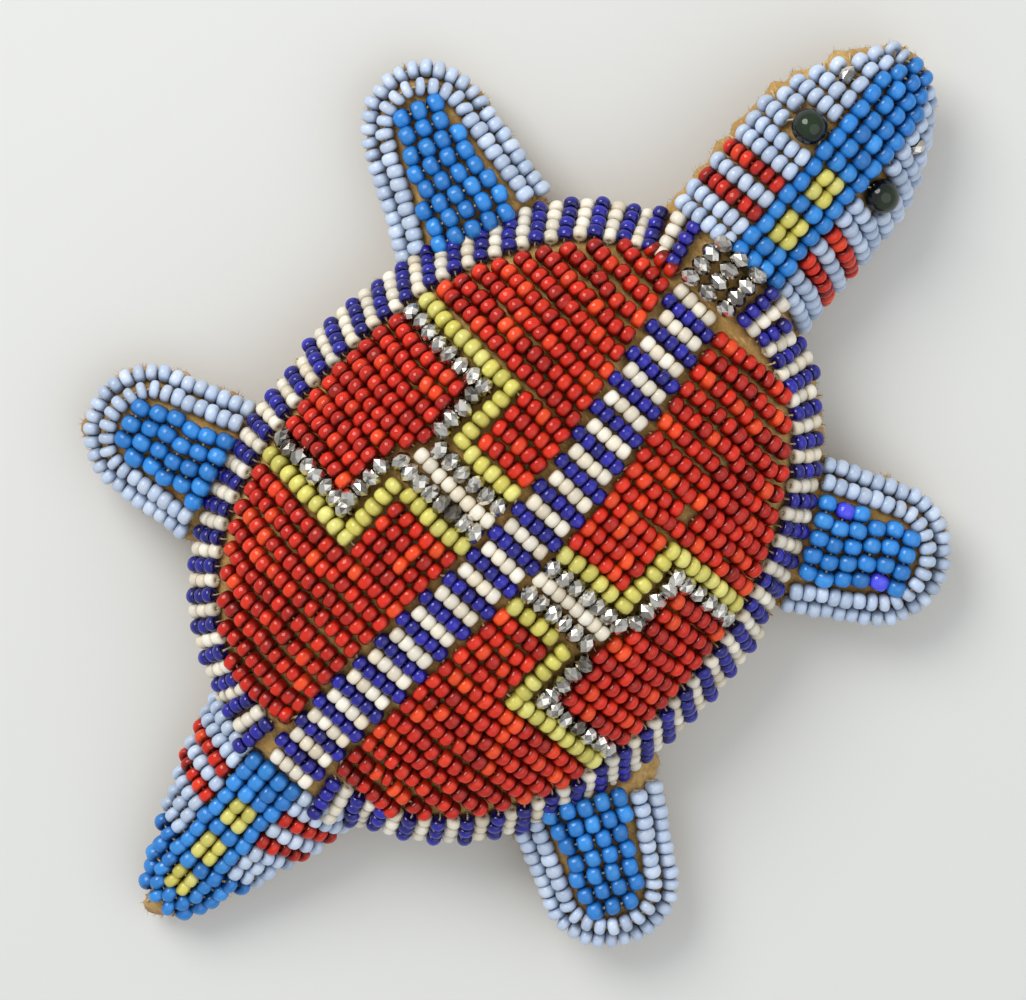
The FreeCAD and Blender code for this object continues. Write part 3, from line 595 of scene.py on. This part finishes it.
def hide_piece(name, nodes, material, lip, hairs):
    """One soft skin over a group of CAD panels and their stuffing."""
    verts, faces = [], []
    for node in nodes:
        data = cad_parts[node].data
        base = len(verts)
        verts.extend(v.co.copy() for v in data.vertices)
        faces.extend([base + i for i in p.vertices] for p in data.polygons)
    mesh = bpy.data.meshes.new(name)
    mesh.from_pydata(verts, [], faces)
    obj = bpy.data.objects.new(name, mesh)
    bpy.context.scene.collection.objects.link(obj)
    bpy.context.view_layer.objects.active = obj
    remesh = obj.modifiers.new("skin", "REMESH")
    remesh.mode = "VOXEL"
    remesh.voxel_size = VOXEL
    smooth = obj.modifiers.new("soft", "SMOOTH")
    smooth.factor = 0.5
    smooth.iterations = SMOOTHING
    shaped = obj.evaluated_get(bpy.context.evaluated_depsgraph_get())
    baked = bpy.data.meshes.new_from_object(shaped)
    n = len(baked.vertices)
    co = np.empty(n * 3, np.float32)
    no = np.empty(n * 3, np.float32)
    baked.vertices.foreach_get("co", co)
    baked.vertices.foreach_get("normal", no)
    co = co.reshape(-1, 3).astype(float)
    no = no.reshape(-1, 3).astype(float)
    edge = np.exp(-(no[:, 2] / EDGE_SPREAD) ** 2) * (np.abs(co[:, 2] - SEAM_Z) < EDGE_REACH)
    ragged = 0.55 + 0.45 * wave_field(co, 6, 1500.0)
    rise = wave_field(co, 8, 900.0) * 0.10 * MM + wave_field(co, 6, 260.0) * 0.2 * MM
    rise = rise + edge * lip * np.clip(ragged, 0.1, 1.3)
    co = co + no * rise[:, None]
    co[:, 2] = np.maximum(co[:, 2], 0.0)
    faces = np.empty(len(baked.loops), np.int32)
    baked.loops.foreach_get("vertex_index", faces)
    hair, hair_faces = fuzz(co, no, edge, hairs)
    # Painted shade near the beads; none on the loose fibres.
    under = np.concatenate([painted_shade_near_beads(co), np.zeros(len(hair))])
    co = np.concatenate([co, hair])
    faces = np.concatenate([faces.reshape(-1, 4), hair_faces + n])
    bpy.data.objects.remove(obj)
    obj = make_mesh(name, co, faces)
    set_attribute(obj, "under", under)
    finish_piece(obj, material, nodes)


PAINTED_SHADE_REACH = 1.7 * MM    # painted shade darkens the hide this close to the middle of a bead


def painted_shade_near_beads(co):
    """Painted shade on the hide by how close each point lies to a bead: 1 beneath it, 0 well away."""
    centres = np.concatenate([b["centre"] for group in strings.values() for b in group])
    tree = KDTree(len(centres))
    for i, place in enumerate(centres):
        tree.insert(place, i)
    tree.balance()
    away = np.array([tree.find(place)[2] for place in co])
    return np.clip((PAINTED_SHADE_REACH - away) / (PAINTED_SHADE_REACH * 0.45), 0.0, 1.0)


def wave_field(co, count, frequency):
    """Smooth random bumps from a few crossed waves, about -1 to 1."""
    total = np.zeros(len(co))
    for _ in range(count):
        direction = unit(rng.normal(size=3))
        bend = unit(rng.normal(size=3))
        phase = rng.uniform(0, 6.28)
        total += np.sin(co @ direction * frequency * rng.uniform(0.7, 1.5) + phase
                        + 1.5 * np.sin(co @ bend * frequency * 0.6))
    return total / count ** 0.5 / 1.5


LOW = 1.0 * MM            # no loose fibres nearer the floor than this
HAIR_LENGTH = (0.25, 0.75)
HAIR_THICKNESS = (0.015, 0.035)


def fuzz(co, no, edge, count):
    """Loose fibres of the cut edge of the hide, thin and bent."""
    weight = (edge ** 2 + 0.004) * (co[:, 2] > LOW)
    root = rng.choice(len(co), count, p=weight / weight.sum())
    way = unit(no[root] + rng.normal(size=(count, 3)) * 0.55)
    bend = unit(np.cross(way, rng.normal(size=(count, 3))))
    length = rng.uniform(*HAIR_LENGTH, count) * MM
    thick = rng.uniform(*HAIR_THICKNESS, count) * MM
    rings = []
    for share, width in ((-0.15, 1.0), (0.45, 0.8), (1.0, 0.15)):
        middle = co[root] + way * (length * share)[:, None]
        middle = middle + bend * (length * share ** 2 * 0.5)[:, None]
        a = bend
        b = np.cross(way, bend)
        for k in range(3):
            t = 2 * math.pi * k / 3
            rings.append(middle + (a * math.cos(t) + b * math.sin(t)) * (thick * width)[:, None])
    verts = np.stack(rings, 1)
    quads = []
    for i in range(2):
        for k in range(3):
            k2 = (k + 1) % 3
            quads.append([i * 3 + k, i * 3 + k2, i * 3 + 3 + k2, i * 3 + 3 + k])
    quads = np.array(quads)
    faces = (quads[None] + (np.arange(count) * 9)[:, None, None]).reshape(-1, 4)
    return verts.reshape(-1, 3), faces


def build_hide(material):
    limbs = ["head", "tail"] + ["leg_" + leg for leg in LEGS]
    hide_piece("skin_body", ["hide_back", "hide_belly", "stuffing_body"], material,
               0.7 * MM, 2000)
    for limb in limbs:
        nodes = ["hide_%s_top" % limb, "hide_%s_under" % limb, "stuffing_" + limb]
        hide_piece("skin_" + limb, nodes, material, 1.7 * MM, 900)


# ---------------------------------------------------------------- thread
THREAD = 0.14 * MM        # radius
TWIST = 2 * math.pi / (1.1 * MM)
SIDES = 6
STITCH_STEPS = 22
CELL = 4 * MM             # size of the boxes that beads are sorted into to find neighbours
STRING_GAP = 1.5          # furthest two neighbours of a string lie, in bead lengths
STRAIGHT = 0.8            # least cosine between a bead's hole and the way to its neighbour


def chains(centre, axis, half):
    """Orders beads into the strings that they are threaded on."""
    n = len(centre)
    grid = {}
    for i in range(n):
        grid.setdefault(tuple((centre[i] // CELL).astype(int)), []).append(i)
    links = []
    for i in range(n):
        base = (centre[i] // CELL).astype(int)
        near = []
        for dx in (-1, 0, 1):
            for dy in (-1, 0, 1):
                for dz in (-1, 0, 1):
                    near += grid.get((base[0] + dx, base[1] + dy, base[2] + dz), [])
        for j in near:
            if j <= i:
                continue
            step = centre[j] - centre[i]
            gap = np.linalg.norm(step)
            if gap > (half[i] + half[j]) * STRING_GAP:
                continue
            along = step / gap
            straight = min(abs(along @ axis[i]), abs(along @ axis[j]))
            if straight > STRAIGHT:
                links.append((gap / straight ** 2, i, j))
    ends = {i: [] for i in range(n)}
    group = list(range(n))

    def root(i):
        while group[i] != i:
            i = group[i]
        return i
    for _, i, j in sorted(links):
        if root(i) == root(j) or len(ends[i]) > 1 or len(ends[j]) > 1:
            continue
        for a, b in ((i, j), (j, i)):
            if ends[a]:
                back = centre[ends[a][0]] - centre[a]
                ahead = centre[b] - centre[a]
                if back @ ahead > 0:
                    break
        else:
            ends[i].append(j)
            ends[j].append(i)
            group[root(i)] = root(j)
    found = []
    seen = set()
    for i in range(n):
        if i in seen or len(ends[i]) > 1:
            continue
        chain = [i]
        seen.add(i)
        while True:
            ahead = [j for j in ends[chain[-1]] if j not in seen]
            if not ahead:
                break
            chain.append(ahead[0])
            seen.add(ahead[0])
        found.append(chain)
    return found


def tube(path, closed=False):
    """A two-ply strand along a path, as vertices."""
    path = np.asarray(path)
    if closed:
        tangent = unit(np.roll(path, -1, 0) - np.roll(path, 1, 0))
    else:
        tangent = unit(np.gradient(path, axis=0))
    travelled = np.concatenate([[0], np.cumsum(np.linalg.norm(np.diff(path, axis=0), axis=1))])
    guide = np.array([0.31, 0.2, 0.93])
    a = unit(np.cross(tangent, guide))
    b = np.cross(tangent, a)
    t = np.arange(SIDES) * 2 * math.pi / SIDES
    ply = 1 + 0.3 * np.cos(2 * (t[None] - travelled[:, None] * TWIST))
    ring = a[:, None] * np.cos(t)[None, :, None] + b[:, None] * np.sin(t)[None, :, None]
    return path[:, None] + ring * (THREAD * ply)[..., None]


def tube_faces(rings, base, closed=False):
    i = np.arange(rings if closed else rings - 1)
    k = np.arange(SIDES)
    i, k = np.meshgrid(i, k, indexing="ij")
    i2, k2 = (i + 1) % rings, (k + 1) % SIDES
    quads = np.stack([i * SIDES + k, i * SIDES + k2, i2 * SIDES + k2, i2 * SIDES + k], -1)
    return base + quads.reshape(-1, 4)


def thread_piece(node, material):
    """The sinew that runs through the beads and dives into the hide at both ends."""
    parts = strings[node]
    centre = np.concatenate([b["centre"] for b in parts])
    axis = np.concatenate([b["axis"] for b in parts])
    up = np.concatenate([b["up"] for b in parts])
    half = np.concatenate([b["half"] for b in parts])
    radius = np.concatenate([b["radius"] for b in parts])
    verts, faces, base = [], [], 0
    for chain in chains(centre, axis, half):
        points = []
        for k, i in enumerate(chain):
            ahead = chain[min(k + 1, len(chain) - 1)]
            behind = chain[max(k - 1, 0)]
            way = centre[ahead] - centre[behind]
            sign = 1.0 if way @ axis[i] >= 0 else -1.0
            for share in (-0.8, 0.0, 0.8):
                points.append(centre[i] + axis[i] * half[i] * share * sign)
        for end, i in ((0, chain[0]), (-1, chain[-1])):
            out = unit(points[end] - centre[i])
            first = points[end] + out * 0.16 * half[i] - up[i] * radius[i] * 0.2
            dive = first + out * 0.04 * half[i] - up[i] * radius[i] * 0.6
            deep = dive - up[i] * radius[i] * 0.9 - out * 0.2 * half[i]
            extra = [deep, dive, first]
            points = extra + points if end == 0 else points + extra[::-1]
        rings = tube(points)
        verts.append(rings.reshape(-1, 3))
        faces.append(tube_faces(len(rings), base))
        base += rings.size // 3
    obj = make_mesh(node + "_thread", np.concatenate(verts), np.concatenate(faces))
    finish_piece(obj, material, [node])


def stitch_piece(node, material):
    """Whip stitches over the two edges of hide in a seam."""
    verts, faces, base = [], [], 0
    steps = STITCH_STEPS
    for points in islands(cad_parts[node]):
        middle = (points.min(0) + points.max(0)) / 2
        flat = np.linalg.eigh(np.cov((points - middle).T))[1]
        a, b, normal = flat[:, 2], flat[:, 1], flat[:, 0]
        reach = np.linalg.norm(points - middle, axis=1).max() - THREAD
        lean = rng.uniform(-0.5, 0.5)
        wide = reach * rng.uniform(0.96, 1.12)
        path = []
        for k in range(steps):
            t = 2 * math.pi * k / steps
            spot = a * math.cos(t) * wide + b * math.sin(t) * reach
            path.append(middle + spot + normal * lean * reach * math.sin(t + 0.6))
        rings = tube(path, True)
        verts.append(rings.reshape(-1, 3))
        faces.append(tube_faces(steps, base, True))
        base += rings.size // 3
    obj = make_mesh(node + "_stitches", np.concatenate(verts), np.concatenate(faces))
    finish_piece(obj, material, [node])


def build_thread(material):
    for node in sorted(strings):
        thread_piece(node, material)
    for node in ("seam_body", "seam_limbs"):
        stitch_piece(node, material)


# ---------------------------------------------------------------- build
# word in a node's name: material, record slot, roundness, unevenness, growth, looseness, hole
LOOKS = [
    ("eye", "eye", "glass_eye", 1.0, 0.01, 1.0, 0.3, 0.12),
    ("navy", "navy", "glass_navy", 0.8, 0.05, 1.08, 1.1, 0.27),
    ("ivory", "ivory", "glass_ivory", 0.72, 0.05, 1.07, 0.9, 0.27),
    ("red", "red", "glass_red", 0.74, 0.07, 1.16, 1.3, 0.27),
    ("yellow", "yellow", "glass_yellow", 0.8, 0.05, 1.08, 1.0, 0.27),
    ("violet", "violet", "glass_violet", 0.82, 0.04, 1.12, 1.0, 0.27),
    ("pale", "pale", "glass_pale", 0.8, 0.05, 1.09, 1.1, 0.27),
    ("border", "pale", "glass_pale", 0.8, 0.05, 1.08, 1.1, 0.27),
    ("", "blue", "glass_blue", 0.84, 0.045, 1.14, 1.2, 0.27),
]


def build_beads(made):
    for node in sorted(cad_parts):
        if node.startswith(("hide_", "stuffing_", "seam_", "sinew_")):
            continue
        if "metal" in node:
            cut_piece(node, made["metal"])
            continue
        look = next(row for row in LOOKS if row[0] in node)
        bead_piece(node, made[look[1]], *look[2:])


def add_light(name, place, aim, size, energy, colour):
    data = bpy.data.lights.new(name, "AREA")
    data.shape = "DISK"
    data.size = size
    data.energy = energy
    data.color = colour
    light = bpy.data.objects.new(name, data)
    bpy.context.scene.collection.objects.link(light)
    light.location = place
    light.rotation_euler = (aim - place).to_track_quat("-Z", "Y").to_euler()


def build_stage(photo_right, photo_up, toward, middle):
    scene = bpy.context.scene
    scene.view_settings.view_transform = "Standard"
    world = bpy.data.worlds.new("studio")
    scene.world = world
    world.use_nodes = True
    sky = world.node_tree.nodes["Background"]
    sky.inputs[0].default_value = (0.97, 0.985, 1.0, 1)
    sky.inputs[1].default_value = 0.58
    key = middle + toward * 0.5 - photo_right * 0.3 + photo_up * 0.34
    add_light("key", key, middle, 0.42, 2.8, (1.0, 0.985, 0.96))
    fill = middle + toward * 0.6 + photo_right * 0.35 - photo_up * 0.2
    add_light("fill", fill, middle, 0.9, 1.45, (0.96, 0.98, 1.0))
    mesh = bpy.data.meshes.new("floor")
    reach = 3.0
    corners = [(-reach, -reach, 0), (reach, -reach, 0), (reach, reach, 0), (-reach, reach, 0)]
    mesh.from_pydata(corners, [], [(0, 1, 2, 3)])
    floor = bpy.data.objects.new("floor", mesh)
    scene.collection.objects.link(floor)
    floor.location.z = -0.0002
    g = Graph("floor")
    g.set(Base_Color=srgb(218, 219, 217), Roughness=0.8)
    floor.data.materials.append(g.material)


made = build_materials()
build_beads(made)
build_hide(made["hide"])
build_thread(made["sinew"])
build_stage(*add_camera())
